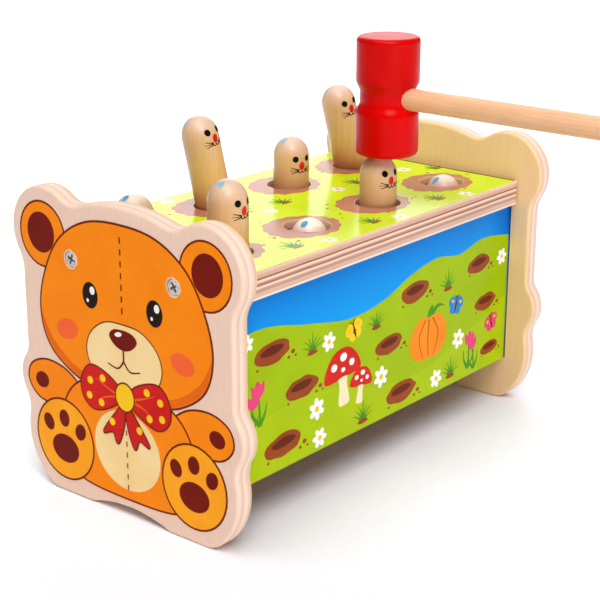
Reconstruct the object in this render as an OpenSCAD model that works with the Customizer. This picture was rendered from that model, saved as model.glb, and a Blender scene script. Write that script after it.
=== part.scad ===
// Wooden tap-the-mole bench: eight pegs with animal faces stand in a printed box,
// two to a rocker, so that tapping one peg down lifts the peg across from it.
// Millimetres, +Z up. The bear-shaped end board is at -X and the open long side is at -Y.

/* [Box] */
// Length of the top plate between the two end boards
plate_l = 206; // [200:1:215]
// Width of the top plate
plate_w = 107; // [104:1:114]
// Thickness of the top plate
plate_t = 12; // [10:0.5:14]
// Height of the playing surface above the table
plate_top = 115; // [112:0.5:120]
// Thickness of the two printed side panels
panel_t = 5; // [3:0.5:6]
// How far the panels stand back from the plate's long edges
panel_recess = 4; // [2:0.5:5]
// Height of the panels' lower edge above the table
panel_low = 22; // [16:0.5:28]
// Depth of the grooves that hold the panels in the end boards
groove_depth = 3; // [2:0.25:4]

/* [End boards] */
// Thickness of the end boards
board_t = 9; // [8:0.5:12]
// Radius worked along the end boards' edges
edge_round = 1.5; // [0.8:0.1:2.5]
// Height of the crown between the ears
crown_top = 136.4; // [134:0.2:138]
// Radius of the crown
crown_r = 85; // [70:1:110]
// Radius of an ear
ear_r = 20; // [18.5:0.25:21]
// Distance of an ear's centre from the middle of the board
ear_u = 46; // [45:0.25:48]
// Height of an ear's centre
ear_z = 117.5; // [116:0.25:119]
// Radius of the hollow between crown and ear
brow_r = 12; // [9:0.5:16]
// Half width of the board between ear and arm
waist_half = 60.6; // [59:0.2:62]
// Radius of the hollow below an ear
neck_r = 15; // [10:0.5:20]
// Radius of an arm
arm_r = 15; // [13.5:0.25:16]
// Distance of an arm's centre from the middle of the board
arm_u = 50.6; // [49.6:0.2:51.6]
// Height of an arm's centre
arm_z = 50.3; // [48:0.25:53]
// Radius of the hollow above an arm
elbow_r = 8; // [5:0.5:12]
// Radius of the hollow below an arm
hip_r = 14; // [10:0.5:18]
// Large radius of a leg's outer side
leg_r = 30; // [27:0.5:32]
// Small radius where a leg meets the table
heel_r = 12; // [9:0.5:14]
// Distance of a heel's centre from the middle of the board
heel_u = 43.4; // [42:0.2:44.4]
// Height of the shallow arch between the feet
arch_h = 4; // [2.5:0.25:6]
// Radius of the arch
arch_r = 70; // [50:1:100]
// Radius where the arch runs into a foot
toe_r = 8; // [4:0.5:12]

/* [Board screws] */
// Distance between the two screws of one end board
screw_pitch = 59; // [50:1:64]
// Diameter of a screw's shank
screw_d = 3.5; // [3:0.1:4]
// Diameter of a screw's countersunk head
screw_head_d = 7; // [6.4:0.1:8]
// Length of a screw
screw_l = 22; // [18:0.5:23]

/* [Moles] */
// How much closer the columns of moles stand than quarters of the plate's length
column_in = 0.5; // [0:0.1:2]
// How much closer to the middle a row of moles stands than the quarter line of the plate's width
row_in = 0.25; // [-0.5:0.05:0.75]
// Diameter of the holes in the top plate
hole_d = 21; // [20.8:0.1:22]
// Diameter of a mole
mole_d = 17; // [16:0.1:17.4]
// Height of a mole's rounded crown
dome_h = 9.5; // [7:0.25:12]
// Height that a mole shows above the plate when its rocker is level
show_mid = 23; // [22.5:0.25:26]
// Travel of a mole up or down from the level position
half_travel = 19.5; // [16:0.25:20]
// Rise of the front mole in the first column as the toy stands
first_rise = 7.5; // [-10:0.5:10]
// Rise of the front mole in the third column as the toy stands
third_rise = -0.5; // [-4:0.5:4]
// Outward lean of the tall moles in their loose holes, in degrees
tall_lean = 5.5; // [0:0.5:5.5]
// Lean of the second column's tall mole towards the bear-shaped board, in degrees
second_tip = 9; // [0:0.5:12]
// Lean of the fourth column's tall mole towards the bear-shaped board, in degrees
fourth_tip = 12; // [0:0.5:12]
// Outward lean of the low moles in their loose holes, in degrees
low_lean = 3; // [0:0.25:3]
// Sideways shift of the low moles in their loose holes
low_shift = 1.2; // [0:0.1:1.2]
// Shift of the third rear mole towards the middle in its loose hole
mid_shift = 1.4; // [0:0.1:1.4]
// Diameter of the stop pin through each mole
pin_d = 4; // [3:0.25:5]
// Length of the stop pin
pin_l = 26; // [24.5:0.5:30]
// Distance from the stop pin to the foot of a mole
pin_to_foot = 8; // [6:0.5:10]

/* [Rockers] */
// How much further from the axle than the row of moles the beads stand on a level rocker
bead_past = 3.5; // [3:0.1:4]
// Radius of the bead
bead_r = 4; // [3.5:0.1:4.5]
// Width of a rocker along the axle
rocker_w = 14; // [10:0.5:20]
// Drop from the axle to the top of a rocker's bar
bar_drop = 5; // [4.8:0.1:6]
// Height of a rocker's bar
bar_h = 7; // [5.5:0.25:9]
// Radius of the hub around the axle
hub_r = 9; // [7.5:0.25:10]
// Diameter of the axle dowel
axle_d = 8; // [6:0.25:9]
// Diameter of the sleeves that space the rockers along the axle
sleeve_d = 14; // [12:0.5:16]
// Depth of the axle's blind seats in the end boards
seat_depth = 5; // [3:0.25:6]

/* [Hammer] */
// Diameter of the hammer's head
head_d = 28.6; // [26:0.2:32]
// Height of the hammer's head
head_h = 53.2; // [48:0.2:60]
// Diameter of the head's waist
waist_d = 25; // [24:0.2:26.2]
// Height of the waist, with the shoulders that lead into it
waist_h = 15.2; // [13:0.2:18]
// Height of each shoulder, from a drum to the waist
shoulder_h = 5.4; // [2:0.2:6]
// Height of the middle of the waist above the head's lower face
waist_at = 26.2; // [23:0.2:28]
// Rounding of the head's rims
rim_r = 2.2; // [1:0.1:4]
// Diameter of the handle
handle_d = 10; // [8:0.25:10.5]
// Distance from the head's axis to the handle's free end
handle_reach = 131; // [110:1:150]
// How far the handle goes in beyond the head's axis
handle_in = 8; // [4:0.5:9]
// Where the head stands along the mole's crown, towards the rear board
tap_x = 2.5; // [-4:0.5:4]
// Where the head stands along the mole's crown, towards the rear row
tap_y = -2.5; // [-4:0.5:4]

/* [Hidden] */
$fn = 72;
// clearances: glued seats, turning fits, rubbing gaps and the pins' end gap
seat = 0.1;
turn = 0.05;
rub = 0.3;
pin_gap = 0.5;
// the gap above a level bead, and what each degree of outward and endward lean adds to it
bead_gap = 0.8;
lean_gap = 0.13;
tip_gap = 0.05;
// moles stand near the middle of their own share of the plate
column_pitch = plate_l / 4 - column_in;
row_half = plate_w / 4 - row_in;
// distance from the axle to a bead, and its tilt at the end of the travel in radians
reach = row_half + bead_past;
full_tilt = asin(half_travel / reach) * PI / 180;
// millimetres of travel for one radian of tilt, held constant over the whole travel: between
// the bead's own rate at mid-travel and its mean rate, nearer to the mean
law_share = 0.244;
law = half_travel / full_tilt * (1 - law_share) + reach * law_share;
plate_low = plate_top - plate_t;
plate_mid = plate_top - plate_t / 2;
panel_y = plate_w / 2 - panel_recess - panel_t / 2;
pin_drop = plate_t / 2 + pin_gap + pin_d / 2 + half_travel;
foot_drop = pin_drop + pin_to_foot;
pivot_z = plate_mid - foot_drop - bead_gap - bead_r;
column_x = [for (i = [0 : 3]) (i - 1.5) * column_pitch];
// how far each column's front mole stands above the level position
front_rise = [first_rise, -half_travel, third_rise, -half_travel];
front_lean = [0, low_lean, 0, low_lean];
front_shift = [0, low_shift, 0, low_shift];
rear_lean = [0, tall_lean, 0, tall_lean];
rear_tip = [0, second_tip, 0, fourth_tip];
rear_shift = [low_shift, 0, -mid_shift, 0];
board_outer = plate_l / 2 + board_t;
// the hammer's foot rests just clear of the third front mole's crown
tap_z = plate_top + show_mid + front_rise[2] + rub;
hammer_x = column_x[2] + tap_x;
hammer_y = -row_half + tap_y;
// the origin lies under the middle of everything, the hammer included
y_front = hammer_y - handle_reach;
y_back = ear_u + ear_r;
centre_y = -(y_front + y_back) / 2;
pale_wood = "#F0D9BE";
warm_wood = "#E2B98A";

// End board outline: a chain of arcs that touch, for one half of the board

// the point at d1 from a and d2 from b, on the left of the way from a to b for side 1
function meet(a, d1, b, d2, side) =
  let (v = b - a, d = norm(v), t = (d1 * d1 - d2 * d2 + d * d) / (2 * d), h = sqrt(d1 * d1 - t * t))
  a + v * t / d + side * h / d * [-v.y, v.x];

// direction from one point to another, and the same counted from 0 to 360
function way(a, b) = atan2(b.y - a.y, b.x - a.x);
function way360(a, b) = let (w = way(a, b)) w < 0 ? w + 360 : w;

arch_c = [0, arch_h - arch_r];
toe_c = [sqrt(2 * (arch_r + toe_r) * arch_h - arch_h * arch_h), toe_r];
heel_c = [heel_u, heel_r];
heel_end = -52;
leg_c = heel_c - (leg_r - heel_r) * [cos(heel_end), sin(heel_end)];
arm_c = [arm_u, arm_z];
hip_c = meet(leg_c, leg_r + hip_r, arm_c, arm_r + hip_r, -1);
elbow_u = waist_half + elbow_r;
elbow_c = [elbow_u, arm_z + sqrt(pow(arm_r + elbow_r, 2) - pow(elbow_u - arm_u, 2))];
ear_c = [ear_u, ear_z];
neck_u = waist_half + neck_r;
neck_c = [neck_u, ear_z - sqrt(pow(ear_r + neck_r, 2) - pow(neck_u - ear_u, 2))];
crown_c = [0, crown_top - crown_r];
brow_c = meet(crown_c, crown_r + brow_r, ear_c, ear_r + brow_r, 1);

// each arc: centre, radius, 1 for a lobe or -1 for a hollow, first and last angle, steps
arcs = [
  [arch_c, arch_r, -1, 90, way(arch_c, toe_c), 5],
  [toe_c, toe_r, 1, way(toe_c, arch_c), -90, 3],
  [heel_c, heel_r, 1, -90, heel_end, 5],
  [leg_c, leg_r, 1, heel_end, way(leg_c, hip_c), 8],
  [hip_c, hip_r, -1, way360(hip_c, leg_c), way360(hip_c, arm_c), 5],
  [arm_c, arm_r, 1, way(arm_c, hip_c), way(arm_c, elbow_c), 8],
  [elbow_c, elbow_r, -1, way360(elbow_c, arm_c), 180, 5],
  [neck_c, neck_r, -1, 180, way360(neck_c, ear_c), 5],
  [ear_c, ear_r, 1, way(ear_c, neck_c), way(ear_c, brow_c), 18],
  [brow_c, brow_r, -1, way(brow_c, ear_c), way(brow_c, crown_c), 6],
  [crown_c, crown_r, 1, way(crown_c, brow_c), 90, 5],
];

// half of the outline, drawn in from the edge by inset, and the closed outline
function half_line(inset) = [for (a = arcs) for (i = [0 : a[5]])
  let (w = a[3] + (a[4] - a[3]) * i / a[5]) a[0] + (a[1] - a[2] * inset) * [cos(w), sin(w)]];
function outline(inset) = let (h = half_line(inset), n = len(h))
  concat(h, [for (i = [n - 2 : -1 : 1]) [-h[i].x, h[i].y]]);

// the rings of a worked edge: how far in from the outline, and how far from the outer face
edge_steps = 3;
function ring_inset(t) = edge_round * (1 - sin(t));
function ring_depth(t) = edge_round * (1 - cos(t));
rings = concat([for (k = [0 : edge_steps]) let (t = 90 * k / edge_steps) [ring_inset(t), ring_depth(t)]],
  [for (k = [edge_steps : -1 : 0]) let (t = 90 * k / edge_steps) [ring_inset(t), board_t - ring_depth(t)]]);

// a slab with the board's outline, outer face at x = 0, thickness towards +X
module board_slab() {
  n = len(outline(0));
  m = len(rings);
  skin = [for (r = rings) for (p = outline(r[0])) [r[1], p.x, p.y]];
  middle = [[0, 0, plate_top * 0.6], [board_t, 0, plate_top * 0.6]];
  sides = [for (j = [0 : m - 2]) for (i = [0 : n - 1])
    [j * n + i, (j + 1) * n + i, (j + 1) * n + (i + 1) % n, j * n + (i + 1) % n]];
  outer = [for (i = [0 : n - 1]) [m * n, i, (i + 1) % n]];
  inner = [for (i = [0 : n - 1]) [m * n + 1, (m - 1) * n + (i + 1) % n, (m - 1) * n + i]];
  polyhedron(concat(skin, middle), concat(sides, outer, inner), convexity = 8);
}

// everything is drawn about the middle of the box and then moved to the origin
module placed() {
  translate([0, centre_y, 0])
    children();
}

// a cylinder along +X from the point given
module rod(at, d, l) {
  translate(at)
    rotate([0, 90, 0])
      cylinder(d = d, h = l);
}

// the screws of one end: their heads face -X
module at_screws() {
  for (s = [-1, 1])
    translate([-board_outer, s * screw_pitch / 2, plate_mid])
      rotate([0, 90, 0])
        children();
}

// the space a countersunk screw takes, grown by a clearance
module screw_space(grow) {
  head_r = screw_head_d / 2 + grow;
  shank_r = screw_d / 2 + grow;
  cone = head_r - shank_r;
  rotate_extrude()
    polygon([[0, -1], [head_r, -1], [head_r, 0.4], [shank_r, 0.4 + cone], [shank_r, screw_l - 3 + grow],
      [0.3, screw_l + grow], [0, screw_l + grow]]);
}

// a countersunk screw with a crossed slot in its head, head face at z = 0.1
module screw() {
  difference() {
    intersection() {
      screw_space(0);
      translate([0, 0, 0.1])
        cylinder(d = screw_head_d + 1, h = screw_l);
    }
    for (w = [45, 135])
      rotate([0, 0, w])
        translate([-screw_head_d * 0.28, -0.45, -0.5])
          cube([screw_head_d * 0.56, 0.9, 1.9]);
  }
}

// the end board at -X with its grooves, axle seat and screw holes
module end_board() {
  difference() {
    translate([-board_outer, 0, 0])
      board_slab();
    for (s = [-1, 1])
      translate([-plate_l / 2 - groove_depth, s * panel_y - panel_t / 2 - seat, panel_low - seat])
        cube([groove_depth + 1, panel_t + 2 * seat, plate_low - panel_low + seat]);
    rod([-plate_l / 2 - seat_depth, 0, pivot_z], axle_d + 2 * turn, seat_depth + 1);
    at_screws()
      screw_space(turn);
  }
}

module bear_board() {
  color(pale_wood)
    placed()
      end_board();
}

module rear_board() {
  color(pale_wood)
    placed()
      mirror([1, 0, 0])
        end_board();
}

// the playing surface, with a loose hole for every mole
module top_plate() {
  color("#CBE51E")
    placed()
      difference() {
        translate([-plate_l / 2, -plate_w / 2, plate_low])
          cube([plate_l, plate_w, plate_t]);
        for (x = column_x, s = [-1, 1])
          translate([x, s * row_half, plate_low - 1])
            cylinder(d = hole_d, h = plate_t + 2);
        at_screws()
          screw_space(turn);
        mirror([1, 0, 0])
          at_screws()
            screw_space(turn);
      }
}

// a printed panel under the plate, let into both end boards
module side_panel(s) {
  long = plate_l + 2 * (groove_depth - seat);
  translate([-long / 2, s * panel_y - panel_t / 2, panel_low])
    cube([long, panel_t, plate_low - panel_low]);
}

module front_panel() {
  color("#1B86D8")
    placed()
      side_panel(-1);
}

module rear_panel() {
  color("#1B86D8")
    placed()
      side_panel(1);
}

module board_screws() {
  color("#8F8C88")
    placed() {
      at_screws()
        screw();
      mirror([1, 0, 0])
        at_screws()
          screw();
    }
}

module rocker_axle() {
  long = plate_l + 2 * (seat_depth - seat);
  color(warm_wood)
    placed()
      rod([-long / 2, 0, pivot_z], axle_d, long);
}

// a tube on the axle
module sleeve(x, l) {
  difference() {
    rod([x, 0, pivot_z], sleeve_d, l);
    rod([x - 1, 0, pivot_z], axle_d + 2 * turn, l + 2);
  }
}

// the tubes between neighbouring rockers
module axle_sleeves() {
  color(warm_wood)
    placed()
      for (i = [0 : 2])
        sleeve(column_x[i] + rocker_w / 2 + rub, column_pitch - rocker_w - 2 * rub);
}

// the tubes between the outer rockers and the end boards
module end_sleeves() {
  long = plate_l / 2 - column_x[3] - rocker_w / 2 - rub;
  color(warm_wood)
    placed() {
      sleeve(column_x[3] + rocker_w / 2 + rub, long);
      sleeve(-plate_l / 2, long);
    }
}

// a rocker: a bar hung under its axle, with a bead at each end that a mole stands on
module rocker(i) {
  tilt = -front_rise[i] / law * 180 / PI;
  color(warm_wood)
    placed()
      translate([column_x[i] - rocker_w / 2, 0, pivot_z])
        rotate([tilt, 0, 0])
          difference() {
            union() {
              translate([0, -reach - bead_r, -bar_drop - bar_h])
                cube([rocker_w, 2 * (reach + bead_r), bar_h]);
              for (s = [-1, 1]) {
                rod([0, s * reach, 0], 2 * bead_r, rocker_w);
                translate([0, s * reach - bead_r, -bar_drop - bar_h / 2])
                  cube([rocker_w, 2 * bead_r, bar_drop + bar_h / 2]);
              }
              rod([0, 0, 0], 2 * hub_r, rocker_w);
            }
            rod([-1, 0, 0], axle_d + 2 * turn, rocker_w + 2);
          }
}

module rocker_1() {
  rocker(0);
}

module rocker_2() {
  rocker(1);
}

module rocker_3() {
  rocker(2);
}

module rocker_4() {
  rocker(3);
}

// puts a mole's own axis, with z = 0 at the plate's mid-thickness, into its hole
// s is -1 for the front row and 1 for the rear row
module in_hole(i, s) {
  lean = s < 0 ? front_lean[i] : rear_lean[i];
  tip = s < 0 ? 0 : rear_tip[i];
  shift = s < 0 ? front_shift[i] : rear_shift[i];
  translate([column_x[i], s * (row_half + shift), plate_mid])
    rotate([-s * lean, -tip, 0])
      translate([0, 0, -s * front_rise[i]])
        children();
}

// a pin lies level: along the toy, or turned about the axis of a mole that also leans endwards
function pin_turn(i, s) = s < 0 || rear_tip[i] == 0 ? 0 : atan2(tan(rear_tip[i]), sin(rear_lean[i]));

// a peg with a rounded crown, a flat foot and a cross hole for its stop pin
module mole(i, s) {
  lean = s < 0 ? front_lean[i] : rear_lean[i];
  tip = s < 0 ? 0 : rear_tip[i];
  low = -foot_drop + lean * lean_gap + tip * tip_gap;
  top = plate_t / 2 + show_mid;
  r = mole_d / 2;
  color(warm_wood)
    placed()
      in_hole(i, s)
        difference() {
          rotate_extrude()
            polygon(concat([[0, low], [r - 0.8, low], [r, low + 0.8]],
              [for (w = [0 : 9 : 81]) [r * cos(w), top - dome_h + dome_h * sin(w)]], [[0, top]]));
          rotate([0, 0, pin_turn(i, s)])
            rod([-r - 1, 0, -pin_drop], pin_d + 2 * turn, mole_d + 2);
        }
}

module stop_pin(i, s) {
  color(pale_wood)
    placed()
      in_hole(i, s)
        rotate([0, 0, pin_turn(i, s)])
          rod([-pin_l / 2, 0, -pin_drop], pin_d, pin_l);
}

module mole_front_1() {
  mole(0, -1);
}

module mole_front_2() {
  mole(1, -1);
}

module mole_front_3() {
  mole(2, -1);
}

module mole_front_4() {
  mole(3, -1);
}

module mole_rear_1() {
  mole(0, 1);
}

module mole_rear_2() {
  mole(1, 1);
}

module mole_rear_3() {
  mole(2, 1);
}

module mole_rear_4() {
  mole(3, 1);
}

module stop_pin_front_1() {
  stop_pin(0, -1);
}

module stop_pin_front_2() {
  stop_pin(1, -1);
}

module stop_pin_front_3() {
  stop_pin(2, -1);
}

module stop_pin_front_4() {
  stop_pin(3, -1);
}

module stop_pin_rear_1() {
  stop_pin(0, 1);
}

module stop_pin_rear_2() {
  stop_pin(1, 1);
}

module stop_pin_rear_3() {
  stop_pin(2, 1);
}

module stop_pin_rear_4() {
  stop_pin(3, 1);
}

// the hammer's own axis, lower face at z = 0
module at_hammer() {
  translate([hammer_x, hammer_y, tap_z])
    children();
}

// the handle's space: along -Y through the waist, starting beyond the head's axis
module handle_rod(grow, past) {
  translate([0, handle_in + grow, waist_at])
    rotate([90, 0, 0])
      cylinder(d = handle_d + 2 * grow, h = handle_in + grow + past);
}

// a turned shoulder: points of a smooth step from one radius to another, up from z
function shoulder(from_r, to_r, z) =
  [for (t = [0 : 0.125 : 1]) [from_r + (to_r - from_r) * (1 - cos(180 * t)) / 2, z + shoulder_h * t]];

// a turned head: two drums with rounded rims, and soft shoulders into a narrower waist
module hammer_head() {
  r = head_d / 2;
  w = waist_d / 2;
  low = waist_at - waist_h / 2;
  high = waist_at + waist_h / 2;
  color("#DE1512")
    placed()
      at_hammer()
        difference() {
          rotate_extrude()
            polygon(concat([[0, 0]],
              [for (a = [-90 : 18 : 0]) [r - rim_r + rim_r * cos(a), rim_r + rim_r * sin(a)]],
              shoulder(r, w, low),
              shoulder(w, r, high - shoulder_h),
              [for (a = [0 : 18 : 90]) [r - rim_r + rim_r * cos(a), head_h - rim_r + rim_r * sin(a)]],
              [[0, head_h]]));
          handle_rod(turn, r);
        }
}

// the handle dowel, rounded at its free end
module hammer_handle() {
  r = handle_d / 2;
  long = handle_in + handle_reach;
  color(warm_wood)
    placed()
      at_hammer()
        translate([0, handle_in, waist_at])
          rotate([90, 0, 0])
            rotate_extrude()
              polygon(concat([[0, 0], [r, 0]],
                [for (a = [0 : 15 : 90]) [r - 2 + 2 * cos(a), long - 2 + 2 * sin(a)]], [[0, long]]));
}

bear_board();
rear_board();
top_plate();
front_panel();
rear_panel();
board_screws();
rocker_axle();
axle_sleeves();
end_sleeves();
rocker_1();
rocker_2();
rocker_3();
rocker_4();
mole_front_1();
mole_front_2();
mole_front_3();
mole_front_4();
mole_rear_1();
mole_rear_2();
mole_rear_3();
mole_rear_4();
stop_pin_front_1();
stop_pin_front_2();
stop_pin_front_3();
stop_pin_front_4();
stop_pin_rear_1();
stop_pin_rear_2();
stop_pin_rear_3();
stop_pin_rear_4();
hammer_head();
hammer_handle();
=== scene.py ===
import random
from math import atan2, cos, degrees, hypot, pi, radians, sin, sqrt

import bpy
from mathutils import Matrix, Vector


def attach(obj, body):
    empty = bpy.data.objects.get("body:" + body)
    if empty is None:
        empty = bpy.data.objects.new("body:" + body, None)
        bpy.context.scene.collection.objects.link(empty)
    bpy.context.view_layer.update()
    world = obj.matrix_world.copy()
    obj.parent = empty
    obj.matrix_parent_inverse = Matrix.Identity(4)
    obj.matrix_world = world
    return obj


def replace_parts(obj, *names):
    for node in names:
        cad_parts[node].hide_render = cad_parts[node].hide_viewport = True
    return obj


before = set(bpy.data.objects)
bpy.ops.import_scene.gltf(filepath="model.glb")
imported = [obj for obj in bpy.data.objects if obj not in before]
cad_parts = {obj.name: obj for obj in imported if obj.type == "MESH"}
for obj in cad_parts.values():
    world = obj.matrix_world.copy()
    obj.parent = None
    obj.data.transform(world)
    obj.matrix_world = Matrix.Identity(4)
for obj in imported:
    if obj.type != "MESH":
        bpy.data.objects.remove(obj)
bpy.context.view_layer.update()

mm = 0.001
midY = 47  # the middle of the box lies this many mm behind the origin
bothEnds = (-1, 1)
near = 0.01  # mm, points this close to a plane count as in it
print("frame loaded")


# small tools for pieces; sizes and places are given to them in mm

def metres(*values):
    return [v * mm for v in values]


def spin(angle, axis):
    return Matrix.Rotation(radians(angle), 4, axis)


def onlyActive(*pieces):  # selects only these, the first one active
    bpy.ops.object.select_all(action="DESELECT")
    for piece in pieces:
        piece.select_set(True)
    bpy.context.view_layer.objects.active = pieces[0]


def editAll(piece):  # enters edit mode with everything selected
    onlyActive(piece)
    bpy.ops.object.mode_set(mode="EDIT")
    bpy.ops.mesh.select_all(action="SELECT")


def leaveEdit():
    bpy.ops.object.mode_set(mode="OBJECT")


def pick(piece, test, kind="VERT"):  # enters edit mode with only what passes the test selected
    onlyActive(piece)
    bpy.ops.object.mode_set(mode="EDIT")
    bpy.ops.mesh.select_mode(type=kind)
    bpy.ops.mesh.select_all(action="DESELECT")
    leaveEdit()
    mesh = piece.data
    if kind == "VERT":
        for v in mesh.vertices:
            v.select = test(v.co / mm)
    else:
        for e in mesh.edges:
            a, b = (mesh.vertices[i].co / mm for i in e.vertices)
            e.select = test(a, b)
    bpy.ops.object.mode_set(mode="EDIT")


def bakePlace(piece):  # moves the place into the mesh
    onlyActive(piece)
    bpy.ops.object.transform_apply(location=True, rotation=True, scale=True)
    return piece


def settle(piece, name, smooth):  # place into the mesh, outward faces, soft shading up to an angle
    piece.name = piece.data.name = name
    editAll(bakePlace(piece))
    bpy.ops.mesh.remove_doubles(threshold=0.002 * mm)
    bpy.ops.mesh.normals_make_consistent(inside=False)
    leaveEdit()
    bpy.ops.object.shade_smooth_by_angle(angle=radians(smooth))
    return piece


def applyModifier(piece, kind, **settings):
    onlyActive(piece)
    modifier = piece.modifiers.new(kind.title(), kind)
    for key, value in settings.items():
        setattr(modifier, key, value)
    bpy.ops.object.modifier_apply(modifier=modifier.name)


def keepFlat(piece):  # broad faces stay flat beside their soft edges
    applyModifier(piece, "WEIGHTED_NORMAL", keep_sharp=True, weight=100)


def softEdges(piece, width, segments, angle=60):
    applyModifier(piece, "BEVEL", width=width * mm, segments=segments, limit_method="ANGLE",
                  angle_limit=radians(angle))


def roundEdges(piece, test, width, segments):
    pick(piece, test, "EDGE")
    bpy.ops.mesh.bevel(offset=width * mm, segments=segments, affect="EDGES")
    leaveEdit()


def cutAway(piece, tool):  # takes the tool's shape out of the piece
    applyModifier(piece, "BOOLEAN", operation="DIFFERENCE", object=tool, solver="EXACT")
    bpy.data.objects.remove(tool)


def joinAll(pieces):
    onlyActive(*pieces)
    if len(pieces) > 1:
        bpy.ops.object.join()
    return bpy.context.object


def copyOf(piece):
    twin = piece.copy()
    twin.data = piece.data.copy()
    bpy.context.scene.collection.objects.link(twin)
    return twin


def dress(piece, material):
    piece.data.materials.clear()
    piece.data.materials.append(material)


def block(sizes, at, turn=0):
    bpy.ops.mesh.primitive_cube_add(size=1, scale=metres(*sizes), location=metres(*at),
                                    rotation=(0, 0, radians(turn)))
    return bakePlace(bpy.context.object)


def rod(sides, radius, long, at, turn=(0, 0, 0)):
    bpy.ops.mesh.primitive_cylinder_add(vertices=sides, radius=radius * mm, depth=long * mm,
                                        location=metres(*at), rotation=[radians(a) for a in turn])
    return bpy.context.object


def turnedShape(sides, radius, steps):  # a disc drawn out upwards through steps of (height, radius)
    bpy.ops.mesh.primitive_circle_add(vertices=sides, radius=radius * mm, fill_type="NGON")
    piece = bpy.context.object
    low = 0
    editAll(piece)
    for height, r in steps:
        bpy.ops.mesh.extrude_region_move(TRANSFORM_OT_translate={"value": (0, 0, (height - low) * mm)})
        bpy.ops.transform.resize(value=(r / radius, r / radius, 1), center_override=(0, 0, height * mm))
        low, radius = height, r
    leaveEdit()
    return piece


def cutSheets(name, sheets):  # sheets of (closed lines, half thickness, edge round), still drawn in mm
    pieces = []
    for lines, half, edge in sheets:
        curve = bpy.data.curves.new(name, "CURVE")
        curve.dimensions = "2D"
        curve.fill_mode = "BOTH"
        curve.extrude = half
        curve.bevel_depth = edge
        for line in lines:
            spline = curve.splines.new("POLY")
            spline.points.add(len(line) - 1)
            for point, (u, v) in zip(spline.points, line):
                point.co = (u, v, 0, 1)
            spline.use_cyclic_u = True
        pieces.append(bpy.data.objects.new(name, curve))
        bpy.context.scene.collection.objects.link(pieces[-1])
    onlyActive(*pieces)
    bpy.ops.object.convert(target="MESH")
    return joinAll(pieces)


def putSheet(sheet, turn, at):
    sheet.rotation_euler = [radians(a) for a in turn]
    sheet.location = metres(*at)
    sheet.scale = (mm, mm, mm)


# shapes of the prints, as closed lines of (u, v) in mm

def oval(u, v, ru, rv, turn=0, steps=36):
    c, s = cos(radians(turn)), sin(radians(turn))
    around = [2 * pi * i / steps for i in range(steps)]
    return [(u + ru * cos(a) * c - rv * sin(a) * s, v + ru * cos(a) * s + rv * sin(a) * c) for a in around]


def through(points, closed=True, steps=8):  # a smooth line through the points
    n = len(points)
    line = []
    for i in range(n if closed else n - 1):
        p = [points[(i + k) % n] if closed else points[min(max(i + k, 0), n - 1)] for k in (-1, 0, 1, 2)]
        for j in range(steps):
            t = j / steps
            line.append(tuple(0.5 * (2 * b + (c - a) * t + (2 * a - 5 * b + 4 * c - d) * t * t
                                     + (3 * b - a - 3 * c + d) * t ** 3) for a, b, c, d in zip(*p)))
    return line if closed else line + [tuple(points[-1])]


def mirrored(shape):
    return [(-u, v) for u, v in shape]


def pair(shape):
    return [shape, mirrored(shape)]


def bothSides(half):  # a smooth line through a half, from top to bottom on the right, and its mirror image
    return through(half + mirrored([p for p in reversed(half) if p[0] > near]))


def grown(shape, by):  # the same line moved outwards
    n = len(shape)
    area = sum(shape[i][0] * shape[(i + 1) % n][1] - shape[(i + 1) % n][0] * shape[i][1] for i in range(n))
    side = 1 if area > 0 else -1
    out = []
    for i, (u, v) in enumerate(shape):
        (a, b), (c, d) = shape[i - 1], shape[(i + 1) % n]
        long = hypot(c - a, d - b) or 1
        out.append((u + side * by * (d - b) / long, v - side * by * (c - a) / long))
    return out


def stroke(points, width, tip=0.25, steps=6):  # a brush line, thinner towards its end
    line = through(points, False, steps) if len(points) > 2 else list(points)
    n = len(line)
    left, right = [], []
    for i, (u, v) in enumerate(line):
        (a, b), (c, d) = line[max(i - 1, 0)], line[min(i + 1, n - 1)]
        long = hypot(c - a, d - b) or 1
        half = width / 2 * (1 - (1 - tip) * i / (n - 1))
        left.append((u - half * (d - b) / long, v + half * (c - a) / long))
        right.append((u + half * (d - b) / long, v - half * (c - a) / long))
    return left + right[::-1]


def moved(shapes, du, dv, size=1, turn=0):
    c, s = size * cos(radians(turn)), size * sin(radians(turn))
    return [[(du + u * c - v * s, dv + u * s + v * c) for u, v in shape] for shape in shapes]


def isInside(point, shape):
    u, v = point
    return sum((b > v) != (d > v) and u < (c - a) * (v - b) / (d - b) + a
               for (a, b), (c, d) in zip(shape, shape[1:] + shape[:1])) % 2 == 1


# where a print lies: how its (u, v) sheet is turned and where its zero is
surfaces = {
    "bearFace": {"turn": (90, 0, -90), "at": (-112, midY, 0)},
    "frontFace": {"turn": (90, 0, 0), "at": (0, -2.5, 0)},
    "plateFace": {"turn": (0, 0, 0), "at": (0, midY, 115)},
    "moleFace": {"turn": (90, 0, 0), "at": (0, -14, 0)},
    "moleCrown": {"turn": (0, 0, 0), "at": (0, 0, 36)},
}
filmStep = 0.0025  # shapes of one ink differ a little in height, so that none lies in another's face


def layInk(name, surface, ink, shapes, lift, holes=()):  # a thin film of ink, lift is its height
    sheets = []
    for i, shape in enumerate(shapes):
        inner = [h for h in holes if all(isInside(p, shape) for p in h)]
        sheets.append(([shape] + inner, lift + filmStep * (i % 7), 0))
    film = cutSheets(name, sheets)
    putSheet(film, **surfaces[surface])
    dress(film, ink)
    return settle(film, name, smooth=20)


# small tools for materials

def linear(hexCode):  # sRGB hex to Blender's linear colour
    parts = [int(hexCode[i:i + 2], 16) / 255 for i in (1, 3, 5)]
    return [p / 12.92 if p <= 0.04045 else ((p + 0.055) / 1.055) ** 2.4 for p in parts] + [1]


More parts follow.
